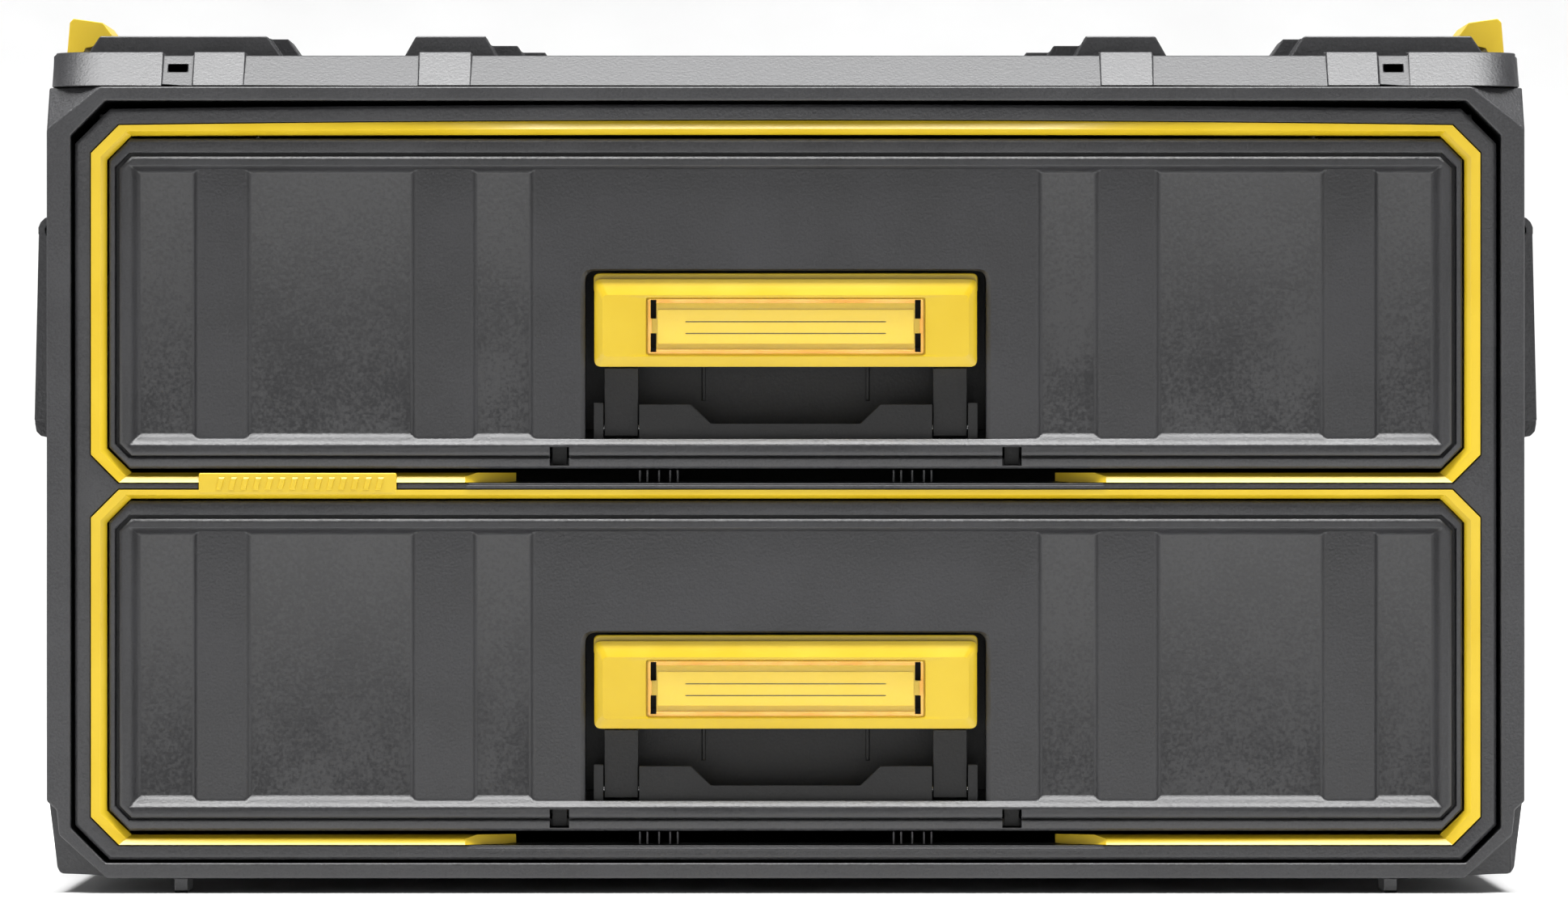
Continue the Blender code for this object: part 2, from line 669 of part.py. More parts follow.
def build_pull_pin(drawer, shift):
    axis = (PULL_AXIS[0], PULL_AXIS[1] + shift)
    return dressed(rod(drawer + "_pull_pin", "X", axis, 0.0012, (-0.0686, 0.0686), 10),
                   material("pin_steel", STEEL, 0.30, 1.0))


def build_pull_spring(drawer, shift):
    spring = coil(drawer + "_pull_spring", "X", 0.0400, (PULL_AXIS[0], PULL_AXIS[1] + shift), 0.0026, 0.0005, 4,
                  0.0016)
    return dressed(spring, material("spring_steel", STEEL, 0.30, 1.0))


def build_divider(drawer, shift):
    plate = box(drawer + "_divider", (-0.0009, 0.0009), (0.0414, 0.3471), (0.1564 + shift, 0.2520 + shift))
    for depth in (0.0420, 0.3455):
        foot_height = (0.1564 + shift, 0.2500 + shift)
        join(plate, box("divider_foot", (-0.0060, 0.0060), (depth, depth + 0.0012), foot_height))
    return dressed(plate, material("dark_plastic", DARK, 0.60))


ARM = (0.0530, 0.0652)
HORN = (0.0550, 0.0620)
LEVER_BACK = 0.0153
PLATE_FRONT = 0.0133


def build_lever(drawer, shift):
    """The black part of the pull: two arms on the pin, a plate behind the yellow bar, and the lifting horns."""
    plate = box(drawer + "_pull_lever", (-0.0640, 0.0640), (PLATE_FRONT, LEVER_BACK),
                (0.1960 + shift, 0.2150 + shift))
    for side in SIDES.values():
        arm, horn = mirrored(side, ARM), mirrored(side, HORN)
        join(plate, box("arm", arm, (0.0103, LEVER_BACK), (0.1640 + shift, 0.1885 + shift)))
        join(plate, box("arm_top", arm, (PLATE_FRONT, LEVER_BACK), (0.1870 + shift, 0.2000 + shift)))
        join(plate, box("horn", horn, (0.0140, 0.0210), (0.1656 + shift, 0.1686 + shift)))
    axis = (PULL_AXIS[0], PULL_AXIS[1] + shift)
    cut(plate, rod("pin_bore", "X", axis, PULL_BORE, (-0.0800, 0.0800)))
    return dressed(plate, material("dark_plastic", DARK, 0.60))


BAR_HALF = 0.0687
BAR_BOTTOM = 0.1890
BAR_TOP = 0.2204


def bar_ring(inset, depth, shift, bottom=BAR_BOTTOM, top=BAR_TOP, radius=0.0025):
    corners = [(-BAR_HALF + inset, bottom + shift), (BAR_HALF - inset, bottom + shift),
               (BAR_HALF - inset, top + shift), (-BAR_HALF + inset, top + shift)]
    return [(x, y_at(depth), z) for x, z in rounded(corners, radius, 2)]


def build_bar(drawer, shift):
    """The yellow grip: a bevelled bar with a sunk label seat and a flange along its top."""
    rings = [bar_ring(0.0, 0.0130, shift), bar_ring(0.0, 0.0058, shift),
             bar_ring(0.0030, 0.0028, shift, 0.1925, 0.2147, 0.0020)]
    bar = lofted(drawer + "_pull_bar", rings)
    join(bar, box("flange", (-0.0690, 0.0690), (0.0085, 0.0125), (0.2150 + shift, 0.2226 + shift)))
    cut(bar, box("label_seat", (-0.0500, 0.0500), (-0.0100, 0.0046), (0.1932 + shift, 0.2136 + shift)))
    return dressed(bar, material("yellow_plastic", YELLOW, 0.38))


def build_label(drawer, shift):
    card = box(drawer + "_label_card", (-0.0460, 0.0460), (0.0041, 0.0044), (0.1972 + shift, 0.2095 + shift))
    dressed(card, material("label_card", CARD, 0.75))
    window = box(drawer + "_label_window", (-0.0494, 0.0494), (0.0024, 0.0036),
                 (0.1937 + shift, 0.2131 + shift))
    for side in SIDES.values():
        for low in (0.1940, 0.2060):
            cut(window, box("clip_slot", mirrored(side, (0.0460, 0.0488)), (0.0, 0.0100),
                            (low + shift, low + 0.0072 + shift)))
    dressed(window, material("clear_plastic", CLEAR, 0.08))


TONGUE = (0.0785, 0.0839)
STEM = (0.0555, 0.0615)


def build_latch_bar(drawer, shift):
    """The lifting bar behind the panel, with its two tongues and the shelves that the horns lift."""
    bar = box(drawer + "_latch_bar", (-0.0840, 0.0840), (0.0220, 0.0280), (0.1580 + shift, 0.1620 + shift))
    for side in SIDES.values():
        tongue, stem = mirrored(side, TONGUE), mirrored(side, STEM)
        join(bar, box("tongue_arm", tongue, (0.0085, 0.0230), (0.1581 + shift, 0.1605 + shift)))
        join(bar, box("tongue", tongue, (0.0085, 0.0103), (0.1537 + shift, 0.1590 + shift)))
        join(bar, box("stem", stem, (0.0240, 0.0270), (0.1610 + shift, 0.1709 + shift)))
        join(bar, box("shelf", stem, (0.0180, 0.0265), (0.1691 + shift, 0.1709 + shift)))
    return dressed(bar, material("dark_plastic", DARK, 0.60))


def build_drawer(drawer, shift):
    build_bin(drawer, shift)
    build_latch_cover(drawer, shift)
    build_panel(drawer, shift)
    build_pocket(drawer, shift)
    build_bracket(drawer, shift)
    build_pull_pin(drawer, shift)
    build_pull_spring(drawer, shift)
    build_divider(drawer, shift)
    axis = (0.0, y_at(PULL_AXIS[0]), PULL_AXIS[1] + shift)
    place_origin(build_lever(drawer, shift), axis)
    place_origin(build_bar(drawer, shift), axis)
    build_label(drawer, shift)
    build_latch_bar(drawer, shift)
    build_slides(drawer, shift)


# Side carry handles

def handle_section(depth, side):
    """The grip's rounded section at one depth."""
    corners = [(0.2645, 0.1637), (0.2770, 0.1637), (0.2765, 0.1860), (0.2645, 0.1860)]
    return [(side * x, y_at(depth), z) for x, z in rounded(corners, 0.0050, 3)]


HANDLE_BORE = 0.0029
EYE_RADIUS = 0.0055
ARM_WIDTH = 0.0160
KNUCKLES = (0.1290, 0.1790, 0.2290)
KNUCKLE_WIDTH = 0.0120
GRIP_SLOTS = 6
GRIP_SLOT_PITCH = 0.0164


def build_handle(side_name):
    """The bail: a grip, two arms and two hinge eyes."""
    side = SIDES[side_name]
    near, far = HANDLE_DEPTH
    ends = [handle_section(depth, side) for depth in (near + 0.0040, far - 0.0040)]
    grip = lofted("side_handle_" + side_name, ends)
    for low, high in ((near, near + ARM_WIDTH), (far - ARM_WIDTH, far)):
        arm = [(0.2650, 0.1700), (0.2768, 0.1700), (0.2752, 0.2400), (0.2650, 0.2400)]
        join(grip, prism_y("arm", [(side * x, z) for x, z in arm], low, high))
        join(grip, rod("eye", "Y", (side * HANDLE_AXIS[0], HANDLE_AXIS[1]), EYE_RADIUS, (low, high), 16))
    for step in range(GRIP_SLOTS):
        depth = 0.1400 + GRIP_SLOT_PITCH * step
        cut(grip, box("grip_slot", mirrored(side, (0.2600, 0.2680)), (depth, depth + 0.0080), (0.1600, 0.1820)))
    cut(grip, rod("pin_bore", "Y", (side * HANDLE_AXIS[0], HANDLE_AXIS[1]), HANDLE_BORE, (0.1000, 0.2700)))
    dressed(grip, material("black_plastic", BLACK, 0.50))
    return place_origin(grip, (side * HANDLE_AXIS[0], 0.0, HANDLE_AXIS[1]))


def build_handle_bracket(side_name):
    side = SIDES[side_name]
    bracket = box("handle_bracket_" + side_name, mirrored(side, (0.2618, 0.2640)), (0.1290, 0.2410),
                  (0.2300, 0.2520))
    for low in KNUCKLES:
        block = [(0.2630, 0.2340), (0.2700, 0.2345), (0.2700, 0.2455), (0.2630, 0.2500)]
        join(bracket, prism_y("knuckle", [(side * x, z) for x, z in block], low, low + KNUCKLE_WIDTH))
        centre = (side * HANDLE_AXIS[0], HANDLE_AXIS[1])
        join(bracket, rod("barrel", "Y", centre, EYE_RADIUS, (low, low + KNUCKLE_WIDTH), 16))
    cut(bracket, rod("pin_bore", "Y", (side * HANDLE_AXIS[0], HANDLE_AXIS[1]), HANDLE_BORE, (0.1000, 0.2700)))
    return dressed(bracket, material("dark_plastic", DARK, 0.60))


def build_handle_pin(side_name):
    centre = (SIDES[side_name] * HANDLE_AXIS[0], HANDLE_AXIS[1])
    return dressed(rod("handle_pin_" + side_name, "Y", centre, 0.0025, (0.1108, 0.2592)),
                   material("pin_steel", STEEL, 0.30, 1.0))


# Stacking latches

def build_latch(side_name):
    """A yellow latch: a flat leg beside the housing and a hook that reaches in over the top."""
    side = SIDES[side_name]
    profile = [(0.2620, 0.2652), (0.2654, 0.2652), (0.2654, 0.3050), (0.2644, 0.3170), (0.2630, 0.3185),
               (0.2523, 0.3170), (0.2490, 0.3126), (0.2490, 0.3095), (0.2585, 0.3075), (0.2602, 0.3040),
               (0.2602, 0.2680)]
    latch = prism_y("stacking_latch_" + side_name, [(side * x, z) for x, z in profile], *LATCH_DEPTH)
    cut(latch, box("spring_gap", mirrored(side, (0.2500, 0.2700)), (0.1470, 0.1630), (0.2600, 0.2725)))
    cut(latch, rod("pin_bore", "Y", (side * LATCH_AXIS[0], LATCH_AXIS[1]), 0.0016, (0.1100, 0.2000), 10))
    dressed(latch, material("yellow_plastic", YELLOW, 0.38))
    return place_origin(latch, (side * LATCH_AXIS[0], 0.0, LATCH_AXIS[1]))


def build_latch_pin(side_name):
    centre = (SIDES[side_name] * LATCH_AXIS[0], LATCH_AXIS[1])
    return dressed(rod("latch_pin_" + side_name, "Y", centre, 0.0012, (0.1130, 0.1970), 10),
                   material("pin_steel", STEEL, 0.30, 1.0))


def build_latch_spring(side_name):
    centre = (SIDES[side_name] * LATCH_AXIS[0], LATCH_AXIS[1])
    spring = coil("latch_spring_" + side_name, "Y", 0.1510, centre, 0.0020, 0.0004, 4, 0.0018)
    return dressed(spring, material("spring_steel", STEEL, 0.30, 1.0))


def main():
    for made in list(bpy.data.objects):
        bpy.data.objects.remove(made, do_unlink=True)
    build_housing()
    build_cover()
    for place in SCREWS:
        build_screw(place)
    build_bezel()
    build_trim()
    for side_name in SIDES:
        build_chassis(side_name)
        build_handle_bracket(side_name)
        build_handle_pin(side_name)
        build_handle(side_name)
        build_latch_pin(side_name)
        build_latch_spring(side_name)
        build_latch(side_name)
    for drawer, shift in DRAWERS.items():
        build_drawer(drawer, shift)


main()
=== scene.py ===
"""The looks of the two-drawer stacking tool box: finer surfaces, materials, light and camera."""
import json
import math

import bmesh
import bpy
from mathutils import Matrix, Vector


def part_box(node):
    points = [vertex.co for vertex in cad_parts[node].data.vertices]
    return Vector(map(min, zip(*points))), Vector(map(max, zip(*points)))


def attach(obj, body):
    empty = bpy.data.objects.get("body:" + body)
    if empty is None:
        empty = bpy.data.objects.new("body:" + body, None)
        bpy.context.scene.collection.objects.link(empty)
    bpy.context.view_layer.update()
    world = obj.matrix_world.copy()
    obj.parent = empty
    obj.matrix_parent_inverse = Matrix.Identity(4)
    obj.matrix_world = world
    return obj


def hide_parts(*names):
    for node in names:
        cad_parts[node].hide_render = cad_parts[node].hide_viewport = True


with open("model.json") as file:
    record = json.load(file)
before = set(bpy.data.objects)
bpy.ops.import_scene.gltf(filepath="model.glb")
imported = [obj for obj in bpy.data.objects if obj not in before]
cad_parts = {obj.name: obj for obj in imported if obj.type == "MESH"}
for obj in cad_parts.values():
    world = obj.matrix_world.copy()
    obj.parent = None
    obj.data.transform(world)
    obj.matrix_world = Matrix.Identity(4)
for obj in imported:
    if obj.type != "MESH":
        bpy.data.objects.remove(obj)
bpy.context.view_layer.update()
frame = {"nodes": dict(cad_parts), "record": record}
record = frame["record"]

DRAWERS = {"upper": 0.0, "lower": -0.130}
SIDES = {"left": -1.0, "right": 1.0}
FRONT_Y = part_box("housing")[0].y
SLOTS = {part["node"]: part["material_slot"] for part in record["subparts"]}
BODIES = {node: body for body, nodes in record["behaviour"]["bodies"].items() for node in nodes}


def y_at(depth):
    """The Y of a depth measured back from the rim's front face."""
    return FRONT_Y + depth


# Materials

class Shader:
    """A Principled material under construction, with short calls for its nodes."""

    def __init__(self, name, roughness, metallic=0.0, uniform=None):
        self.material = bpy.data.materials.new(name)
        self.material.use_nodes = True
        self.tree = self.material.node_tree
        self.surface = self.tree.nodes["Principled BSDF"]
        self.surface.inputs["Roughness"].default_value = roughness
        self.surface.inputs["Metallic"].default_value = metallic
        for socket, value in (uniform or {}).items():
            self.surface.inputs[socket].default_value = value
        coordinates = self.node("ShaderNodeTexCoord")
        self.place = coordinates.outputs["Object"]

    def node(self, kind, **settings):
        """A new node; each setting is an input's value or a property."""
        made = self.tree.nodes.new(kind)
        for key, value in settings.items():
            if key in made.inputs:
                made.inputs[key].default_value = value
            else:
                setattr(made, key, value)
        return made

    def link(self, output, socket):
        self.tree.links.new(output, socket)

    def stretched(self, scale):
        """Object coordinates scaled unevenly, for brushed or streaked surfaces."""
        mapping = self.node("ShaderNodeMapping", Scale=scale)
        self.link(self.place, mapping.inputs["Vector"])
        return mapping.outputs["Vector"]

    def noise(self, per_metre, detail=2.0, place=None):
        """Soft noise at a scale per metre."""
        made = self.node("ShaderNodeTexNoise", Scale=per_metre, Detail=detail)
        self.link(place or self.place, made.inputs["Vector"])
        return made.outputs["Fac"]

    def grains(self, per_metre):
        """Distances to the centres of cells at a scale per metre."""
        made = self.node("ShaderNodeTexVoronoi", Scale=per_metre)
        self.link(self.place, made.inputs["Vector"])
        return made.outputs["Distance"]

    def weighed(self, first, second, share):
        """Blend two values, giving the second its share."""
        part = self.node("ShaderNodeMath", operation="MULTIPLY")
        self.link(first, part.inputs[0])
        part.inputs[1].default_value = 1.0 - share
        total = self.node("ShaderNodeMath", operation="MULTIPLY_ADD")
        self.link(second, total.inputs[0])
        total.inputs[1].default_value = share
        self.link(part.outputs[0], total.inputs[2])
        return total.outputs[0]

    def spread(self, value, low, high, start=0.35, end=0.65):
        """Map a noise value to a range of numbers."""
        made = self.node("ShaderNodeMapRange")
        for socket, number in (("From Min", start), ("From Max", end), ("To Min", low), ("To Max", high)):
            made.inputs[socket].default_value = number
        self.link(value, made.inputs["Value"])
        return made.outputs["Result"]

    def blend_colours(self, value, first, second, start=0.35, end=0.65):
        """Map a noise value to a colour between two."""
        made = self.node("ShaderNodeValToRGB")
        for element, colour, position in zip(made.color_ramp.elements, (first, second), (start, end)):
            element.color = (*colour, 1.0)
            element.position = position
        self.link(value, made.inputs["Fac"])
        return made.outputs["Color"]

    def bump(self, layers):
        """Stack bump layers, given as (height, strength, distance in metres)."""
        normal = None
        for height, strength, distance in layers:
            made = self.node("ShaderNodeBump", Strength=strength, Distance=distance)
            self.link(height, made.inputs["Height"])
            if normal is not None:
                self.link(normal, made.inputs["Normal"])
            normal = made.outputs["Normal"]
        self.link(normal, self.surface.inputs["Normal"])

    def finish(self, colour=None, roughness=None):
        """Connect the colour and roughness, and give the material."""
        if colour is not None:
            self.link(colour, self.surface.inputs["Base Color"])
        if roughness is not None:
            self.link(roughness, self.surface.inputs["Roughness"])
        return self.material


def moulded(name, dark, light, smooth, rough, grain, depth, shine=0.6):
    """Grained moulding: two colours, two roughnesses, the grain's scale and its depth in metres."""
    shader = Shader(name, (smooth + rough) / 2, uniform={"Specular IOR Level": shine})
    patches = shader.noise(35.0, 4.0)
    fine = shader.noise(grain, 2.0)
    pits = shader.grains(grain * 0.6)
    shader.bump([(fine, 0.5, depth), (pits, 0.35, depth)])
    speckled = shader.weighed(patches, fine, 0.6)
    colour = shader.blend_colours(speckled, dark, light, 0.42, 0.58)
    return shader.finish(colour, shader.spread(speckled, smooth, rough))


def yellow_plastic():
    """Glossy moulding with faint flow lines."""
    shader = Shader("yellow_moulding", 0.35)
    patches = shader.noise(30.0, 3.0)
    flow = shader.noise(12.0, 2.0, shader.stretched((1.0, 1.0, 6.0)))
    fine = shader.noise(2200.0, 2.0)
    shader.bump([(fine, 0.25, 0.00002), (flow, 0.1, 0.0002)])
    colour = shader.blend_colours(patches, (0.52, 0.355, 0.010), (0.555, 0.39, 0.017))
    return shader.finish(colour, shader.spread(patches, 0.30, 0.38))


def steel(name, dark, light, smooth, rough):
    """Brushed metal with a slight spangle."""
    shader = Shader(name, (smooth + rough) / 2, 1.0)
    brushed = shader.noise(60.0, 5.0, shader.stretched((40.0, 1.0, 40.0)))
    spangle = shader.grains(220.0)
    shader.bump([(brushed, 0.2, 0.00003)])
    colour = shader.blend_colours(spangle, dark, light, 0.1, 0.7)
    return shader.finish(colour, shader.spread(brushed, smooth, rough))


def clear_plastic(name, alpha, dark, light):
    """Thin tinted plastic with faint waves and scratches."""
    shader = Shader(name, 0.06, uniform={"IOR": 1.49, "Alpha": alpha})
    waves = shader.noise(90.0, 1.0)
    shader.bump([(waves, 0.08, 0.0002)])
    scratches = shader.noise(500.0, 3.0, shader.stretched((0.1, 1.0, 1.0)))
    tint = shader.blend_colours(waves, dark, light)
    return shader.finish(tint, shader.spread(scratches, 0.03, 0.10))


def label_card():
    """Matt yellow paper with fine fibres."""
    shader = Shader("label_paper", 0.6)
    fibres = shader.noise(1800.0, 4.0)
    shader.bump([(fibres, 0.3, 0.00002)])
    colour = shader.blend_colours(fibres, (0.66, 0.46, 0.030), (0.70, 0.50, 0.040))
    return shader.finish(colour, shader.spread(fibres, 0.50, 0.70))


# Painted shade: the drawer fronts sit sunk inside their flanges and rings, and their black is a darker copy
# of the moulding to stand in for the shade that falls there.
SHADED_PANEL_BLACK = moulded("black_panel_painted_shade", (0.008, 0.008, 0.009), (0.014, 0.014, 0.016),
                      smooth=0.38, rough=0.48, grain=1300.0, depth=0.00014)
FLOOR_GRAIN = moulded("black_floor_grain", (0.006, 0.006, 0.007), (0.019, 0.019, 0.020),
                      smooth=0.44, rough=0.56, grain=900.0, depth=0.00022)
# Painted shade: the clear rim of each label window is tinted orange and half opaque, standing in for the
# yellow grip darkened to orange where it is seen through the rim's thick clear edges.
RIM_PAINTED_SHADE = clear_plastic("clear_window_rim_painted_shade", 0.55, (0.80, 0.40, 0.08), (0.88, 0.52, 0.14))
MATERIALS = {
    "black_plastic": moulded("black_moulding", (0.013, 0.013, 0.0145), (0.023, 0.023, 0.025),
                             smooth=0.40, rough=0.50, grain=1300.0, depth=0.00016),
    # Painted shade: the dark_plastic slot's parts sit deep in the pull's recess, so their black is darker and
    # less shiny than the moulding, to stand in for the shade that falls there. The card's printed rules use
    # it too.
    "dark_plastic": moulded("recess_shade_and_print_black", (0.010, 0.010, 0.010), (0.014, 0.014, 0.014),
                            smooth=0.42, rough=0.52, grain=1400.0, depth=0.00010, shine=0.3),
    "yellow_plastic": yellow_plastic(),
    "clear_plastic": clear_plastic("clear_window", 0.05, (0.93, 0.78, 0.30), (0.95, 0.82, 0.36)),
    "label_card": label_card(),
    "zinc_steel": steel("zinc_plate", (0.50, 0.51, 0.54), (0.64, 0.65, 0.67), 0.28, 0.45),
    "bright_steel": steel("bright_pin", (0.55, 0.55, 0.57), (0.66, 0.66, 0.68), 0.20, 0.34),
}


# Solids

SMOOTH_ANGLE = 35.0
# A depth well in front of the whole box, where cutters start
IN_FRONT = -0.0050


def shade(data, smooth_angle=SMOOTH_ANGLE):
    """Shade a mesh smooth except across edges sharper than an angle in degrees."""
    data.shade_smooth()
    data.set_sharp_from_angle(angle=math.radians(smooth_angle))


def new_piece(name, mesh, smooth_angle=SMOOTH_ANGLE):
    """An object from a bmesh, which is freed."""
    data = bpy.data.meshes.new(name)
    mesh.to_mesh(data)
    mesh.free()
    shade(data, smooth_angle)
    made = bpy.data.objects.new(name, data)
    bpy.context.collection.objects.link(made)
    return made


def lofted(name, rings, closed=False):
    """Skin a row of point rings of equal count; closed joins the last ring to the first."""
    mesh = bmesh.new()
    rows = [[mesh.verts.new(point) for point in ring] for ring in rings]
    count = len(rows[0])
    pairs = list(zip(rows, rows[1:]))
    if closed:
        pairs.append((rows[-1], rows[0]))
    for low, high in pairs:
        for index in range(count):
            after = (index + 1) % count
            mesh.faces.new((low[index], low[after], high[after], high[index]))
    if not closed:
        mesh.faces.new(rows[0][::-1])
        mesh.faces.new(rows[-1])
    bmesh.ops.recalc_face_normals(mesh, faces=mesh.faces)
    return new_piece(name, mesh)


def swept(name, outline_at, profile, closed=False):
    """Stack front-view outlines: each profile point is outline_at's argument and a depth."""
    rings = [[(x, y_at(depth), z) for x, z in outline_at(u)] for u, depth in profile]
    return lofted(name, rings, closed)


def prism_x(name, outline, low, high):
    """Extrude a (depth, z) outline between two x values."""
    return lofted(name, [[(x, y_at(depth), z) for depth, z in outline] for x in (low, high)])


def box(name, x, depth, z):
    """A box from (low, high) pairs of x, depth and z, for cutting with or joining to other solids."""
    outline = [(depth[0], z[0]), (depth[1], z[0]), (depth[1], z[1]), (depth[0], z[1])]
    return prism_x(name, outline, *sorted(x))


def combined(target, operation, tools):
    """Apply each tool to the target in turn; the tools are used up."""
    for tool in tools:
        modifier = target.modifiers.new(operation, "BOOLEAN")
        modifier.operation = operation
        modifier.solver = "EXACT"
        modifier.object = tool
        graph = bpy.context.evaluated_depsgraph_get()
        result = bpy.data.meshes.new_from_object(target.evaluated_get(graph))
        target.modifiers.clear()
        target.data = result
        bpy.data.objects.remove(tool, do_unlink=True)
    shade(target.data)
    return target


def cut(target, *tools):
    """Take the tools away from the target."""
    return combined(target, "DIFFERENCE", tools)


def join(target, *tools):
    """Add the tools to the target."""
    return combined(target, "UNION", tools)


# Outlines

def eased(points, radii, closed=False, steps=5):
    """Round the corners of a polyline, each by its own radius."""
    result = []
    count = len(points)
    for index, radius in enumerate(radii):
        corner = Vector(points[index])
        at_end = not closed and index in (0, count - 1)
        if at_end or radius == 0.0:
            result.append(tuple(corner))
            continue
        before = Vector(points[index - 1]) - corner
        after = Vector(points[(index + 1) % count]) - corner
        reach = min(radius / math.tan(before.angle(after) / 2), before.length * 0.49, after.length * 0.49)
        start, end = corner + before.normalized() * reach, corner + after.normalized() * reach
        for step in range(steps + 1):
            t = step / steps
            result.append(tuple(start * (1 - t) ** 2 + corner * 2 * t * (1 - t) + end * t ** 2))
    return result


def between(first, second, t):
    """The point a share t of the way from the first to the second."""
    return tuple(a + (b - a) * t for a, b in zip(first, second))


ARCH_STEPS = 16
LEAST_CUT = 0.0001


def chamfered(size, inset=0.0):
    """Outline with 45-degree corners, moved in by inset; size is half width, bottom, top, cut and crown."""
    half, bottom, top, cut_size, crown = size
    half, bottom, top = half - inset, bottom + inset, top - inset
    cut_size = max(cut_size - inset * (2 - math.sqrt(2)), LEAST_CUT)
    reach = half - cut_size
    arch = [reach * (1 - 2 * step / ARCH_STEPS) for step in range(1, ARCH_STEPS)]
    outline = [(-reach, bottom), (reach, bottom), (half, bottom + cut_size)]
    outline += [(half, top - cut_size), (reach, top)]
    outline += [(x, top + crown * (1 - (x / reach) ** 2)) for x in arch]
    return outline + [(-reach, top), (-half, top - cut_size), (-half, bottom + cut_size)]


def round_corners(half, bottom, top, radius, steps=6, foot_radius=None):
    """A rectangle about x = 0 with rounded corners; the two lower ones may have their own radius."""
    low = radius if foot_radius is None else foot_radius
    corners = [(-half, bottom), (half, bottom), (half, top), (-half, top)]
    return eased(corners, (low, low, radius, radius), True, steps)


def edge(width, low, high):
    """Profile points over a moulded edge: a slanting face with its two corners softened."""
    step = (high - low) * 0.3
    return [(0.0, low - step), (width * 0.12, low), (width * 0.30, low + step * 0.9),
            (width * 0.88, high - step * 0.25), (width, high)]


def lifted(size, shift):
    """A size raised or lowered with its drawer."""
    half, bottom, top, *rest = size
    return (half, bottom + shift, top + shift, *rest)


# Pieces that stand for CAD nodes

def finished(made, node, *extra):
    """Give a piece its node's body, slot and material, and let it stand for the node."""
    made.data.materials.clear()
    for material in (MATERIALS[SLOTS[node]], *extra):
        made.data.materials.append(material)
    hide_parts(node)
    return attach(made, BODIES[node])


def beside(made, node, slot=None):
    """A further piece that rides with a node."""
    slot = slot or SLOTS[node]
    made.data.materials.clear()
    made.data.materials.append(MATERIALS[slot])
    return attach(made, BODIES[node])


WELD = 0.000002
FLAT_ANGLE = 0.2
BEVEL_ANGLE = 24.0
SHORTEST_EDGE = 2.2
COIL_ANGLE = 80.0


def merged_faces(node):
    """The node's triangles merged into flat faces, with the ones that aren't convex split again."""
    mesh = bmesh.new()
    mesh.from_mesh(frame["nodes"][node].data)
    bmesh.ops.remove_doubles(mesh, verts=mesh.verts, dist=WELD)
    bmesh.ops.dissolve_limit(mesh, angle_limit=math.radians(FLAT_ANGLE), verts=mesh.verts, edges=mesh.edges,
                             use_dissolve_boundaries=False)
    hollow = [face for face in mesh.faces
              if len(face.verts) > 4 and not all(loop.is_convex for loop in face.loops)]
    bmesh.ops.triangulate(mesh, faces=hollow, quad_method="BEAUTY", ngon_method="BEAUTY")
    return mesh


def rounded(mesh, width):
    """Bevel a mesh's sharp edges, and hold the result inside the box that the mesh had."""
    lowest = [min(vert.co[axis] for vert in mesh.verts) for axis in range(3)]
    highest = [max(vert.co[axis] for vert in mesh.verts) for axis in range(3)]
    sharp = [line for line in mesh.edges
             if line.is_manifold and line.calc_face_angle(0.0) > math.radians(BEVEL_ANGLE)
             and line.calc_length() > SHORTEST_EDGE * width]
    bmesh.ops.bevel(mesh, geom=sharp, offset=width, segments=3, profile=0.5, affect="EDGES",
                    clamp_overlap=False, loop_slide=True)
    for vert in mesh.verts:
        vert.co = [min(max(value, low), high) for value, low, high in zip(vert.co, lowest, highest)]


def softened(node, width):
    """The node with its moulded edges rounded; a width of zero only smooths its shading."""
    mesh = merged_faces(node)
    if width:
        rounded(mesh, width)
    made = new_piece(node + "_finish", mesh, SMOOTH_ANGLE if width else COIL_ANGLE)
    even = made.modifiers.new("even_shading", "WEIGHTED_NORMAL")
    even.keep_sharp = True
    even.weight = 80
    return finished(made, node)


# The yellow trim

# Each ring's bottom, top, the height of its top's arch, and the top of its inner edge. RING_FACE is the
# share of the ring's width that its flat face takes up, and BAR_LEAN the bottom bar's share of the lean.
RINGS = {"upper": (0.1474, 0.2756, 0.0017, 0.2718), "lower": (0.0174, 0.1448, 0.0, 0.1416)}
RING_OUTER = 0.2492
RING_INNER = 0.2436
RING_FACE = 0.59
RING_BACK = 0.0140
RING_CUT = 0.0100
RING_INNER_CUT = 0.0087
RING_BAR = 0.0035
RING_LEAN = 0.0024
BAR_LEAN = 0.8
FACE_DEPTH = 0.0060
TRIM_FRONT = 0.0015
RAIL_BLOCK = (-0.2106, -0.1396)
BLOCK_HEIGHT = (0.1432, 0.1508)
BLOCK_FRONT = 0.0014
RIDGE_COUNT = 14
RIDGE_PITCH = 0.0044
RIDGE_WIDTH = 0.0022
RIDGE_SLANT = 0.0012
RIDGE_CREST = 0.25
RIDGE_HEIGHT = (0.1447, 0.1493)
GAP_FRONT = 0.1150
GAP_BACK = 0.0970
GAP_DEPTH = 0.0108


def gap_half(depth):
    """Half the width of the gap over a finger sill, which narrows to the back."""
    t = min(max((depth - TRIM_FRONT) / GAP_DEPTH, 0.0), 1.0)
    return GAP_FRONT + (GAP_BACK - GAP_FRONT) * t


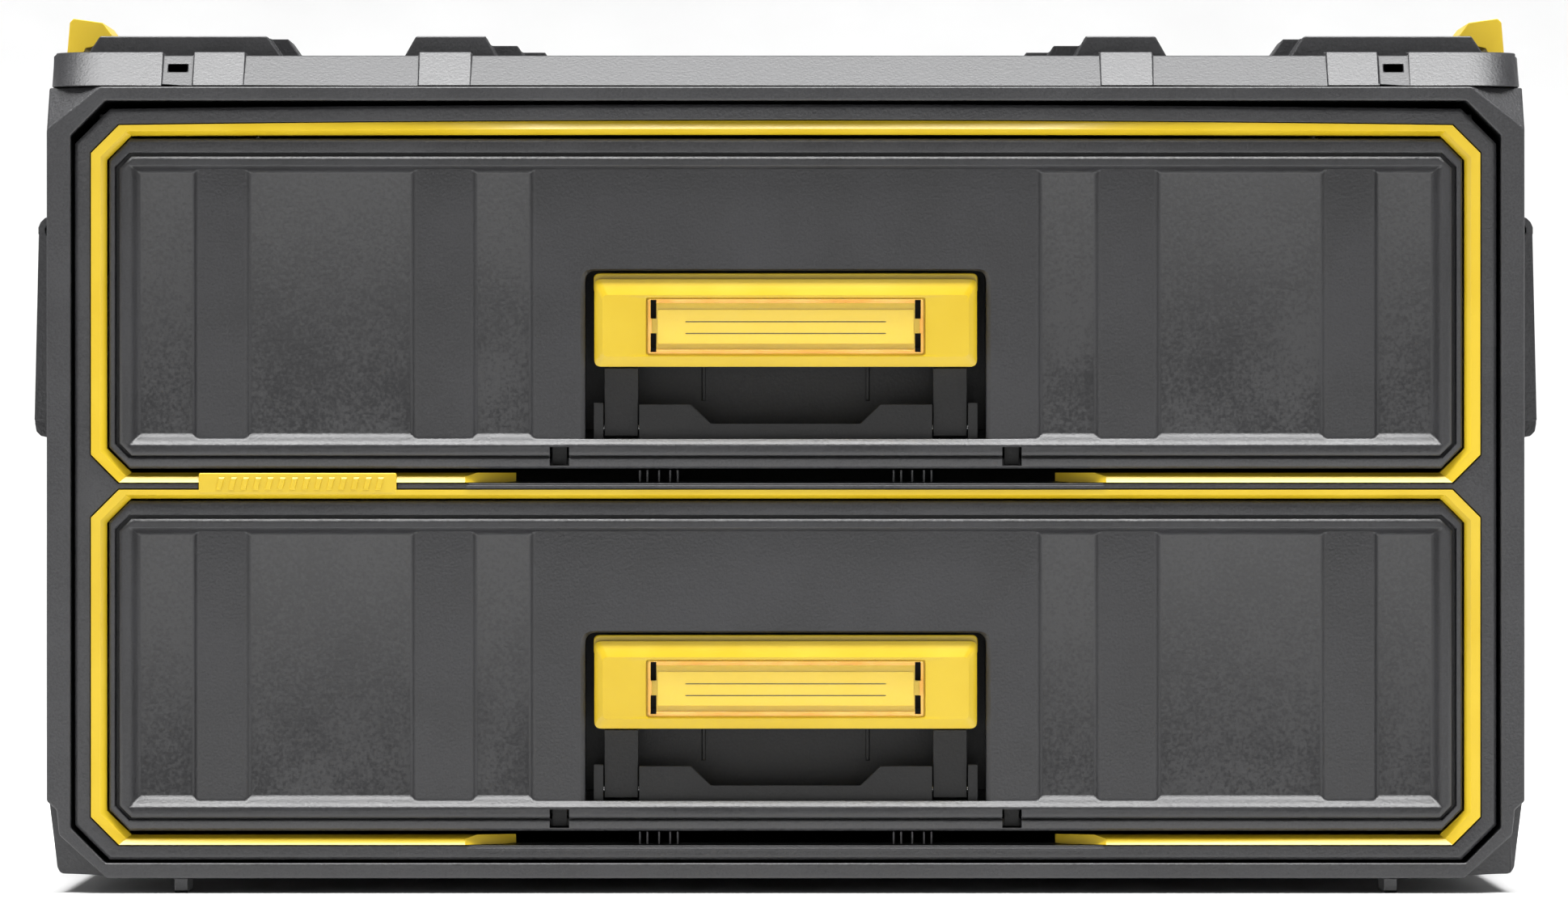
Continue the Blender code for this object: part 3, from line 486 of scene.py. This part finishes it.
def trim_ring(drawer, bottom, top, crown, inner_top):
    """One ring, open over its sill: its face leans back along the bottom bar and along an arched top."""
    outer = (RING_OUTER, bottom, top, RING_CUT, crown)
    inner = (RING_INNER, bottom + RING_BAR, inner_top, RING_INNER_CUT, crown / 4)
    profile = eased([(0.0, RING_BACK), (0.0, TRIM_FRONT), (RING_FACE, TRIM_FRONT), (1.0, 0.0040),
                     (1.0, RING_BACK)], (0.0, 0.0006, 0.0006, 0.0010, 0.0), True, 4)
    lines = []
    for t, depth in profile:
        across = min(t / RING_FACE, 1.0)
        at_front = depth < FACE_DEPTH
        foot = depth + (RING_LEAN * BAR_LEAN * across if at_front else 0.0)
        arch = RING_LEAN * (1 - across) if at_front and crown else 0.0
        outline = chamfered(between(outer, inner, t))
        line = [(x, y_at(depth), z) for x, z in outline[2:4]]
        line += [(x, y_at(depth + arch * (1 - (x / RING_OUTER) ** 2) ** 2), z) for x, z in outline[4:-2]]
        line += [(x, y_at(depth), z) for x, z in outline[-2:]]
        (left, low), (right, _) = outline[:2]
        lines.append([(gap_half(depth), y_at(foot), low), (right, y_at(foot), low), *line,
                      (left, y_at(foot), low), (-gap_half(depth), y_at(foot), low)])
    return lofted(drawer + "_ring", list(zip(*lines)))


def block_outline(inset):
    """The rail block's outline, moved in by inset."""
    (left, right), (low, high) = RAIL_BLOCK, BLOCK_HEIGHT
    outline = round_corners((right - left) / 2 - inset, low + inset, high - inset, 0.0008, 3)
    return [(x + (left + right) / 2, z) for x, z in outline]


def ridge(x):
    """One slanted ridge that tapers to its crest."""
    low, high = RIDGE_HEIGHT
    top = x + RIDGE_SLANT
    foot = [(x, low), (x + RIDGE_WIDTH, low), (top + RIDGE_WIDTH, high), (top, high)]
    centre = ((x + top + RIDGE_WIDTH) / 2, (low + high) / 2)
    crest = [between(point, centre, RIDGE_CREST) for point in foot]
    levels = ((foot, 0.0020), (foot, 0.0015), (crest, 0.0009))
    return lofted("ridge", [[(u, y_at(depth), w) for u, w in outline] for outline, depth in levels])


def ridged_block():
    """The block on the mid rail, with a plain row of slanted ridges."""
    profile = eased([(0.0, 0.0135), (0.0, BLOCK_FRONT), (0.0012, BLOCK_FRONT)], (0.0, 0.0006, 0.0))
    block = swept("rail_block", block_outline, profile)
    return join(block, *[ridge(RAIL_BLOCK[0] + 0.0060 + step * RIDGE_PITCH) for step in range(RIDGE_COUNT)])


def gathered(name, *shells):
    """One object from several closed shells."""
    mesh = bmesh.new()
    for shell in shells:
        mesh.from_mesh(shell.data)
        bpy.data.objects.remove(shell, do_unlink=True)
    return new_piece(name, mesh)


def build_trim():
    """Both rings and the block between them."""
    rings = [trim_ring(drawer, *size) for drawer, size in RINGS.items()]
    trim = gathered("drawer_trim_finish", *rings, ridged_block())
    return finished(trim, "drawer_trim")


# The black frame round the drawers

BEZEL_SIZE = (0.2550, 0.0120, 0.2815, 0.0125, 0.0016)
BEZEL_FRONT = 0.0022
CLEAR = 0.0003
THROUGH_FRONT = (-0.0100, 0.0200)
THROUGH_BIN = (-0.0100, 0.0300)
SILL_FRONT = 0.0012
SILL_BACK = 0.0116
SILL_HALF_FRONT = 0.1146
SILL_HALF_BACK = 0.0964
SILL_FOOT = 0.1452
SILL_RIBS = (0.0385, 0.0412, 0.0452, 0.0494, 0.0521)
SILL_RIB_WIDTH = 0.0006


def finger_sill(shift):
    """A ledge that slopes up to the back, with a rounded front edge and a row of small ribs at its back."""
    section = eased([(SILL_FRONT, SILL_FOOT), (SILL_FRONT, 0.1463), (SILL_BACK, 0.1479),
                     (SILL_BACK, SILL_FOOT)], (0.0, 0.0004, 0.0, 0.0))
    narrowing = (SILL_HALF_FRONT - SILL_HALF_BACK) / (SILL_BACK - SILL_FRONT)
    rings = [[(side * (SILL_HALF_FRONT - (depth - SILL_FRONT) * narrowing), y_at(depth), z + shift)
              for depth, z in section] for side in SIDES.values()]
    sill = lofted("sill", rings)
    height = (0.1465 + shift, 0.1518 + shift)
    ribs = [box("rib", (side * x, side * (x + SILL_RIB_WIDTH)), (0.0090, 0.0115), height)
            for side in SIDES.values() for x in SILL_RIBS]
    return join(sill, *ribs)


def build_bezel():
    """The frame, with an opening for each ring and for the block, and its two sills."""
    rounding = [(0.0, 0.0140), *edge(0.0011, BEZEL_FRONT + 0.0006, BEZEL_FRONT), (0.0020, BEZEL_FRONT)]
    bezel = swept("front_bezel_finish", lambda inset: chamfered(BEZEL_SIZE, inset), rounding)
    mouth = eased([(-0.0010, BEZEL_FRONT), (0.0, BEZEL_FRONT), (0.0, 0.0200)], (0.0, 0.0004, 0.0))
    flare = [(-0.0010, IN_FRONT), (-0.0010, BEZEL_FRONT - 0.0001), *mouth[1:]]
    for bottom, top, crown, _ in RINGS.values():
        opening = (RING_OUTER + CLEAR, bottom - CLEAR, top + CLEAR, RING_CUT, crown)
        cut(bezel, swept("ring_opening", lambda inset, size=opening: chamfered(size, inset), flare))
    cut(bezel, box("block_gap", (RAIL_BLOCK[0] - CLEAR, RAIL_BLOCK[1] + CLEAR), THROUGH_FRONT,
                   (BLOCK_HEIGHT[0] - CLEAR, BLOCK_HEIGHT[1] + CLEAR)))
    join(bezel, *[finger_sill(shift) for shift in DRAWERS.values()])
    return finished(bezel, "front_bezel")


# Drawer fronts

PANEL_SIZE = (0.2391, 0.1570, 0.2644, 0.0044, 0.0)
BORDER = 0.0018
PANEL_BACK = 0.0077
FLOOR_SUNK = 0.0042
RIB_SUNK = 0.0022
LEVELS = (-0.0001, 0.0001, 0.0003, 0.0008, 0.0015, RIB_SUNK, 0.0028, 0.0034, 0.0038, 0.0041, FLOOR_SUNK)
EASE_SHARE = 0.30
EASE_REACH = 0.00050
RIB_BEVEL = 0.00085
# The ribs' sides, from the ends towards the middle, and whether the face rises there
RIB_SIDES = ((0.2118, True), (0.1931, False), (0.1335, True), (0.1119, False), (0.0910, True))
BOTTOM_SLOPE = 1.167
TOP_SLOPE = 0.524
RELIEF_BOTTOM = 0.1611
RELIEF_TOP = 0.2610
RELIEF_END = 0.2354
RELIEF_END_SLOPE = 0.0034
RECESS_HALF = 0.0719
RECESS_HEIGHT = (0.1630, 0.2235)
RECESS_RADIUS = 0.0040
SIDE_DRAFT = 0.0019
TOP_DRAFT = 0.0006
RADIUS_DRAFT = 0.0012
TONGUE = (0.0777, 0.0847)
SEAM_PLACES = (-0.0395, 0.0395)
SEAM_HALF = 0.00012
FACING_FRONT = -0.99
FLOOR_MARGIN = 0.00022


def ramp(start, end, low, high):
    """Places and sunk depths down a slope, eased at both ends."""
    rows = []
    for level in LEVELS:
        if low <= level <= high:
            t = (level - low) / (high - low)
            tail = max(0.0, t - 1 + EASE_SHARE) / EASE_SHARE
            head = max(0.0, EASE_SHARE - t) / EASE_SHARE
            drift = math.copysign(EASE_REACH, end - start) * (tail ** 2 - head ** 2)
            rows.append((start + (end - start) * t + drift, level))
    return rows


def relief_columns():
    """The sunk depth across the panel, as (x, depth) points from end to end."""
    half = ramp(RELIEF_END, RELIEF_END - RELIEF_END_SLOPE, LEVELS[0], FLOOR_SUNK)
    for place, rises in RIB_SIDES:
        inwards = -RIB_BEVEL if rises else RIB_BEVEL
        slope = ramp(place + inwards, place - inwards, RIB_SUNK, FLOOR_SUNK)
        half += slope[::-1] if rises else slope
    return half + [(-x, level) for x, level in half[::-1]]


def relief(shift):
    """Cutter for the sunk face: floors between raised ribs, and a raised middle."""
    rows = ramp(RELIEF_BOTTOM, RELIEF_BOTTOM + FLOOR_SUNK / BOTTOM_SLOPE, LEVELS[0], FLOOR_SUNK)
    rows += ramp(RELIEF_TOP, RELIEF_TOP - FLOOR_SUNK * TOP_SLOPE, LEVELS[0], FLOOR_SUNK)[::-1]
    rings = []
    for x, sunk in relief_columns():
        section = [(IN_FRONT, rows[0][0])] + [(BORDER + min(sunk, level), z) for z, level in rows]
        section.append((IN_FRONT, rows[-1][0]))
        rings.append([(x, y_at(depth), z + shift) for depth, z in section])
    return lofted("relief", rings)


def recess(shift):
    """Cutter for the opening round the pull, with drafted sides and a narrow lip along the top."""
    rows = [(1.0, IN_FRONT), (1.0, 0.0039), (0.86, 0.0041), (0.14, 0.0050), (0.0, 0.0054), (0.0, 0.0200)]
    bottom, top = RECESS_HEIGHT
    rings = []
    for draft, depth in rows:
        outline = round_corners(RECESS_HALF + SIDE_DRAFT * draft, bottom + shift,
                                top + TOP_DRAFT * draft + shift, RECESS_RADIUS + RADIUS_DRAFT * draft,
                                foot_radius=0.0)
        rings.append([(x, y_at(depth), z) for x, z in outline])
    return lofted("recess", rings)


def seam(x, shift):
    """Cutter for a hairline that crosses the panel's lower border and slope."""
    skin = 0.0002
    outline = [(-0.0010, 0.1555), (BORDER + skin, 0.1555), (BORDER + skin, RELIEF_BOTTOM),
               (BORDER + skin + RIB_SUNK, RELIEF_BOTTOM + RIB_SUNK / BOTTOM_SLOPE),
               (-0.0010, RELIEF_BOTTOM + 0.0024)]
    return prism_x("seam", [(depth, z + shift) for depth, z in outline], x - SEAM_HALF, x + SEAM_HALF)


def tongue_windows(shift, depth, height):
    """Cutters for the two openings that the latch tongues pass through."""
    return [box("window", (side * TONGUE[0], side * TONGUE[1]), depth, (height[0] + shift, height[1] + shift))
            for side in SIDES.values()]


def build_panel(drawer, shift):
    """The drawer's front panel, with coarser grain on its sunk floors."""
    size = lifted(PANEL_SIZE, shift)
    rounding = [(0.0, PANEL_BACK), *edge(0.0010, BORDER + 0.0006, BORDER), (0.0016, BORDER)]
    panel = swept(drawer + "_front_panel_finish", lambda inset: chamfered(size, inset), rounding)
    cut(panel, relief(shift), recess(shift), *[seam(x, shift) for x in SEAM_PLACES])
    cut(panel, *tongue_windows(shift, THROUGH_FRONT, (0.1500, 0.1601)))
    finished(panel, drawer + "_front_panel", FLOOR_GRAIN)
    # The panel takes the darker black, which is painted shade.
    panel.data.materials[0] = SHADED_PANEL_BLACK
    near_floor = y_at(BORDER + FLOOR_SUNK) - FLOOR_MARGIN
    for face in panel.data.polygons:
        if face.normal.y < FACING_FRONT and face.center.y > near_floor:
            face.material_index = 1
    return panel


FLANGE_OUTER = (0.2428, 0.1524, 0.2708, 0.0076, 0.0)
FLANGE_INNER = (0.2405, 0.1563, 0.2657, 0.0050, 0.0)
FLANGE_BACK = 0.0104
SEAT_SIZE = (0.2414, 0.1560, 0.2660, 0.0060, 0.0)
SEAT_DEPTHS = (0.0081, 0.0099)
BAY_HALF = 0.0950
BAY_HEIGHT = (0.1575, 0.2295)
TRAY_DEPTHS = (0.0085, 0.3500)
TRAY_HALF = 0.2300
TRAY_RADIUS = 0.0050
LEAST_RADIUS = 0.0006
TRAY_WALL = 0.0025
TRAY_RIM = 0.2620


def build_flange(drawer, shift):
    """The lip of the drawer front, which shows all round the panel."""
    outer, inner = lifted(FLANGE_OUTER, shift), lifted(FLANGE_INNER, shift)
    profile = [(0.0, FLANGE_BACK), *edge(0.26, 0.0033, 0.0025), (0.86, 0.0025), (1.0, 0.0030),
               (1.0, FLANGE_BACK)]
    flange = swept(drawer + "_drawer_flange", lambda t: chamfered(between(outer, inner, t)), profile,
                   closed=True)
    cut(flange, *tongue_windows(shift, THROUGH_BIN, (0.1534, 0.1650)))
    return beside(flange, drawer + "_bin")


def tray_plan(inset):
    """The tray's rounded rectangle seen from above, moved in by inset, as (x, depth) points."""
    near, far = TRAY_DEPTHS
    radius = max(TRAY_RADIUS - inset, LEAST_RADIUS)
    return round_corners(TRAY_HALF - inset, near + inset, far - inset, radius, 5)


def bay_windows(shift):
    """Cutters for the openings behind the pull: the latch bay's and the tongues'."""
    height = (BAY_HEIGHT[0] + shift, BAY_HEIGHT[1] + shift)
    return [box("window", (-BAY_HALF, BAY_HALF), (0.0, 0.0200), height),
            *tongue_windows(shift, THROUGH_BIN, (0.1500, 0.1650))]


def build_tray(drawer, shift):
    """The drawer's tray: one skin up the outside, over the rounded rim and down to the floor inside."""
    profile = eased([(0.0020, 0.1535), (0.0, 0.1555), (0.0, TRAY_RIM), (TRAY_WALL, TRAY_RIM),
                     (TRAY_WALL, 0.1600), (0.0065, 0.1560)],
                    (0.0, 0.0008, 0.0010, 0.0010, 0.0020, 0.0), False, 4)
    rings = [[(x, y_at(depth), z + shift) for x, depth in tray_plan(inset)] for inset, z in profile]
    tray = lofted(drawer + "_bin_finish", rings)
    cut(tray, *bay_windows(shift))
    return finished(tray, drawer + "_bin")


def build_seat(drawer, shift):
    """The wall that the front panel sits on. Its corners are cut, to stay clear of the yellow ring."""
    outline = chamfered(lifted(SEAT_SIZE, shift))
    seat = lofted(drawer + "_seat", [[(x, y_at(depth), z) for x, z in outline] for depth in SEAT_DEPTHS])
    cut(seat, *bay_windows(shift))
    return beside(seat, drawer + "_bin")


# The pulls

BAR_BACK = (0.0687, 0.1890, 0.2204, 0.0025)
BAR_FACE = (0.0657, 0.1925, 0.2147, 0.0020)
CLIP_X = (0.0464, 0.0485)
CLIP_Z = ((0.1942, 0.2010), (0.2062, 0.2130))
# Half width, bottom and top of the label's seat, the lip behind the grip, the window and the card
LABEL_SEAT = (0.0500, 0.1932, 0.2136)
BAR_LIP = (0.0690, 0.2150, 0.2226)
WINDOW = (0.0494, 0.1937, 0.2131)
CARD = (0.0460, 0.1972, 0.2095)
WINDOW_RIM = 0.0013
WINDOW_BACK = 0.0036
RULES = {"upper": 0.2049, "lower": 0.2007}
RULE_HALF = 0.0360
RULE_HEIGHT = 0.0004


def inset_outline(size, inset, shift, radius):
    """A rounded rectangle about x = 0, moved in by inset; size is half width, bottom and top."""
    half, bottom, top = size
    return round_corners(half - inset, bottom + inset + shift, top - inset + shift, radius)


def clip_holes(shift, depth):
    """Cutters for the slots of the window's four clips."""
    return [box("clip", (side * CLIP_X[0], side * CLIP_X[1]), depth, (low + shift, high + shift))
            for side in SIDES.values() for low, high in CLIP_Z]


def build_bar(drawer, shift):
    """The yellow grip: bevelled all round, with a seat for the label."""
    back, face = lifted(BAR_BACK, shift), lifted(BAR_FACE, shift)
    profile = eased([(0.0, 0.0130), (0.0, 0.0058), (1.0, 0.0028), (1.5, 0.0028)], (0.0, 0.0012, 0.0010, 0.0))
    bar = swept(drawer + "_pull_bar_finish", lambda t: round_corners(*between(back, face, t)), profile)
    seat = [(-0.0006, IN_FRONT), (-0.0006, 0.0027), (-0.0002, 0.0029), (0.0, 0.0034), (0.0, 0.0046)]
    cut(bar, swept("label_seat", lambda inset: inset_outline(LABEL_SEAT, inset, shift, 0.0010), seat))
    cut(bar, *clip_holes(shift, THROUGH_FRONT))
    return finished(bar, drawer + "_pull_bar")


def build_bar_lip(drawer, shift):
    """The thin flange that stands up behind the grip."""
    profile = eased([(0.0, 0.0125), (0.0, 0.0085), (0.0010, 0.0085)], (0.0, 0.0005, 0.0))
    lip = swept(drawer + "_pull_lip", lambda inset: inset_outline(BAR_LIP, inset, shift, 0.0022), profile)
    return beside(lip, drawer + "_pull_bar")


def window_outline(inset, shift):
    """The label window's outline, moved in by inset."""
    return inset_outline(WINDOW, inset, shift, 0.0008 + inset / 4)


def build_window(drawer, shift):
    """The clear cover over the label: a pane with slots for its four clips, inside a thicker rim."""
    flat = [(WINDOW_RIM, WINDOW_BACK), (WINDOW_RIM, 0.0029), (WINDOW_RIM + 0.0002, 0.0028)]
    pane = swept(drawer + "_label_window_finish", lambda inset: window_outline(inset, shift), flat)
    raised = eased([(0.0, WINDOW_BACK), (0.0, 0.0024), (WINDOW_RIM, 0.0024), (WINDOW_RIM, WINDOW_BACK)],
                   (0.0, 0.0003, 0.0003, 0.0), True, 3)
    rim = swept(drawer + "_window_rim", lambda inset: window_outline(inset, shift), raised, closed=True)
    for made in (pane, rim):
        cut(made, *clip_holes(shift, (0.0, 0.0100)))
    beside(rim, drawer + "_label_window")
    # The rim takes the orange tint, which is painted shade seen through clear plastic.
    rim.data.materials[0] = RIM_PAINTED_SHADE
    return finished(pane, drawer + "_label_window")


def build_card(drawer, shift):
    """A blank card with two ruled lines to write on."""
    profile = [(0.0, 0.0044), (0.0, 0.0042), (0.0001, 0.0041)]
    card = swept(drawer + "_label_card_finish", lambda inset: inset_outline(CARD, inset, shift, 0.0006),
                 profile)
    for place, foot in RULES.items():
        outline = round_corners(RULE_HALF, foot, foot + RULE_HEIGHT, 0.0001, 2)
        rule = lofted(f"{drawer}_card_rule_{place}",
                      [[(x, y_at(depth), z + shift) for x, z in outline] for depth in (0.00415, 0.00406)])
        beside(rule, drawer + "_label_card", "dark_plastic")
    return finished(card, drawer + "_label_card")


# Stage, light and camera

STAGE_REACH = 16.0
STAGE_CURVE = 5.0
STAGE_HEIGHT = 6.0
STAGE_SIDES = 96
STAGE_STEPS = 12


def build_stage():
    """A pale round floor that curves up into a wall, beyond every camera."""
    mesh = bmesh.new()
    profile = [(STAGE_REACH, 0.0)]
    for step in range(1, STAGE_STEPS + 1):
        turn = math.pi / 2 * step / STAGE_STEPS
        profile.append((STAGE_REACH + STAGE_CURVE * math.sin(turn), STAGE_CURVE * (1 - math.cos(turn))))
    profile.append((STAGE_REACH + STAGE_CURVE, STAGE_HEIGHT))
    angles = [2 * math.pi * step / STAGE_SIDES for step in range(STAGE_SIDES)]
    rows = [[mesh.verts.new((r * math.cos(a), r * math.sin(a), z)) for a in angles] for r, z in profile]
    mesh.faces.new(rows[0])
    for low, high in zip(rows, rows[1:]):
        for index in range(STAGE_SIDES):
            after = (index + 1) % STAGE_SIDES
            mesh.faces.new((low[index], high[index], high[after], low[after]))
    floor = new_piece("floor", mesh, smooth_angle=60.0)
    shader = Shader("pale_floor", 0.8)
    tone = shader.blend_colours(shader.noise(3.0), (0.74, 0.74, 0.74), (0.77, 0.77, 0.77))
    floor.data.materials.append(shader.finish(tone))


def area_light(name, place, aim, size, radiance):
    """A rectangular light; its power follows from its size and radiance."""
    light = bpy.data.lights.new(name, "AREA")
    light.shape = "RECTANGLE"
    light.size, light.size_y = size
    light.energy = radiance * math.pi * size[0] * size[1]
    made = bpy.data.objects.new(name, light)
    made.location = place
    made.rotation_euler = (Vector(aim) - Vector(place)).to_track_quat("-Z", "Y").to_euler()
    bpy.context.collection.objects.link(made)


MIDDLE = (0.0, 0.0, 0.16)
FRONT_EDGES = (0.0, -0.19, 0.16)
WORLD_STRENGTH = 0.10
OVERHEAD_STRENGTH = 4.1
OVERHEAD_SPREAD = 60


def build_light():
    """A wide soft light overhead, a strip that picks out the edges, and weak fill all round."""
    world = bpy.data.worlds.new("studio")
    bpy.context.scene.world = world
    world.use_nodes = True
    background = world.node_tree.nodes["Background"]
    background.inputs["Color"].default_value = (1.0, 1.0, 1.0, 1.0)
    background.inputs["Strength"].default_value = WORLD_STRENGTH
    overhead = bpy.data.lights.new("overhead_light", "SUN")
    overhead.energy = OVERHEAD_STRENGTH
    overhead.angle = math.radians(OVERHEAD_SPREAD)
    bpy.context.collection.objects.link(bpy.data.objects.new("overhead_light", overhead))
    area_light("edge_strip", (0.0, -0.40, 1.75), FRONT_EDGES, (2.2, 0.36), 26.0)
    area_light("front_strip", (0.0, -1.25, 1.65), MIDDLE, (2.2, 0.5), 0.2)
    for name, side in SIDES.items():
        area_light(name + "_wall", (side * 1.8, 0.2, 0.5), MIDDLE, (1.4, 1.1), 0.8)
        area_light(name + "_softbox", (side * 1.6, -1.1, 0.5), MIDDLE, (0.45, 1.2), 0.5)


CAMERA_LENS = 256.1
CAMERA_DISTANCE = 4.0
CAMERA_HEIGHT = 0.1569
CAMERA_X = -0.0006


def build_camera():
    """A long lens, level and square to the front."""
    camera = bpy.data.cameras.new("camera")
    camera.lens = CAMERA_LENS
    camera.sensor_width = 36.0
    camera.clip_end = 50.0
    made = bpy.data.objects.new("camera", camera)
    made.location = (CAMERA_X, y_at(-CAMERA_DISTANCE), CAMERA_HEIGHT)
    made.rotation_euler = (math.pi / 2, 0.0, 0.0)
    bpy.context.collection.objects.link(made)
    bpy.context.scene.camera = made
    bpy.context.scene.view_settings.view_transform = "Standard"


# How far a node's edges are rounded: most by the plain width, the springs' coils not at all
PLAIN_WIDTH = 0.0003
WIDTHS = {"housing": 0.0007, "top_cover": 0.0006, "upper_pull_spring": 0.0, "lower_pull_spring": 0.0,
          "latch_spring_left": 0.0, "latch_spring_right": 0.0}
REBUILT = ("_front_panel", "_bin", "_pull_bar", "_label_window", "_label_card")


def main():
    """Build the pieces with shapes of their own, then round the edges of every other node."""
    build_trim()
    build_bezel()
    rebuilt = {"drawer_trim", "front_bezel"}
    for drawer, shift in DRAWERS.items():
        build_panel(drawer, shift)
        build_flange(drawer, shift)
        build_tray(drawer, shift)
        build_seat(drawer, shift)
        build_bar(drawer, shift)
        build_bar_lip(drawer, shift)
        build_window(drawer, shift)
        build_card(drawer, shift)
        rebuilt |= {drawer + part for part in REBUILT}
    for node in frame["nodes"]:
        if node not in rebuilt:
            softened(node, WIDTHS.get(node, PLAIN_WIDTH))


main()
build_stage()
build_light()
build_camera()
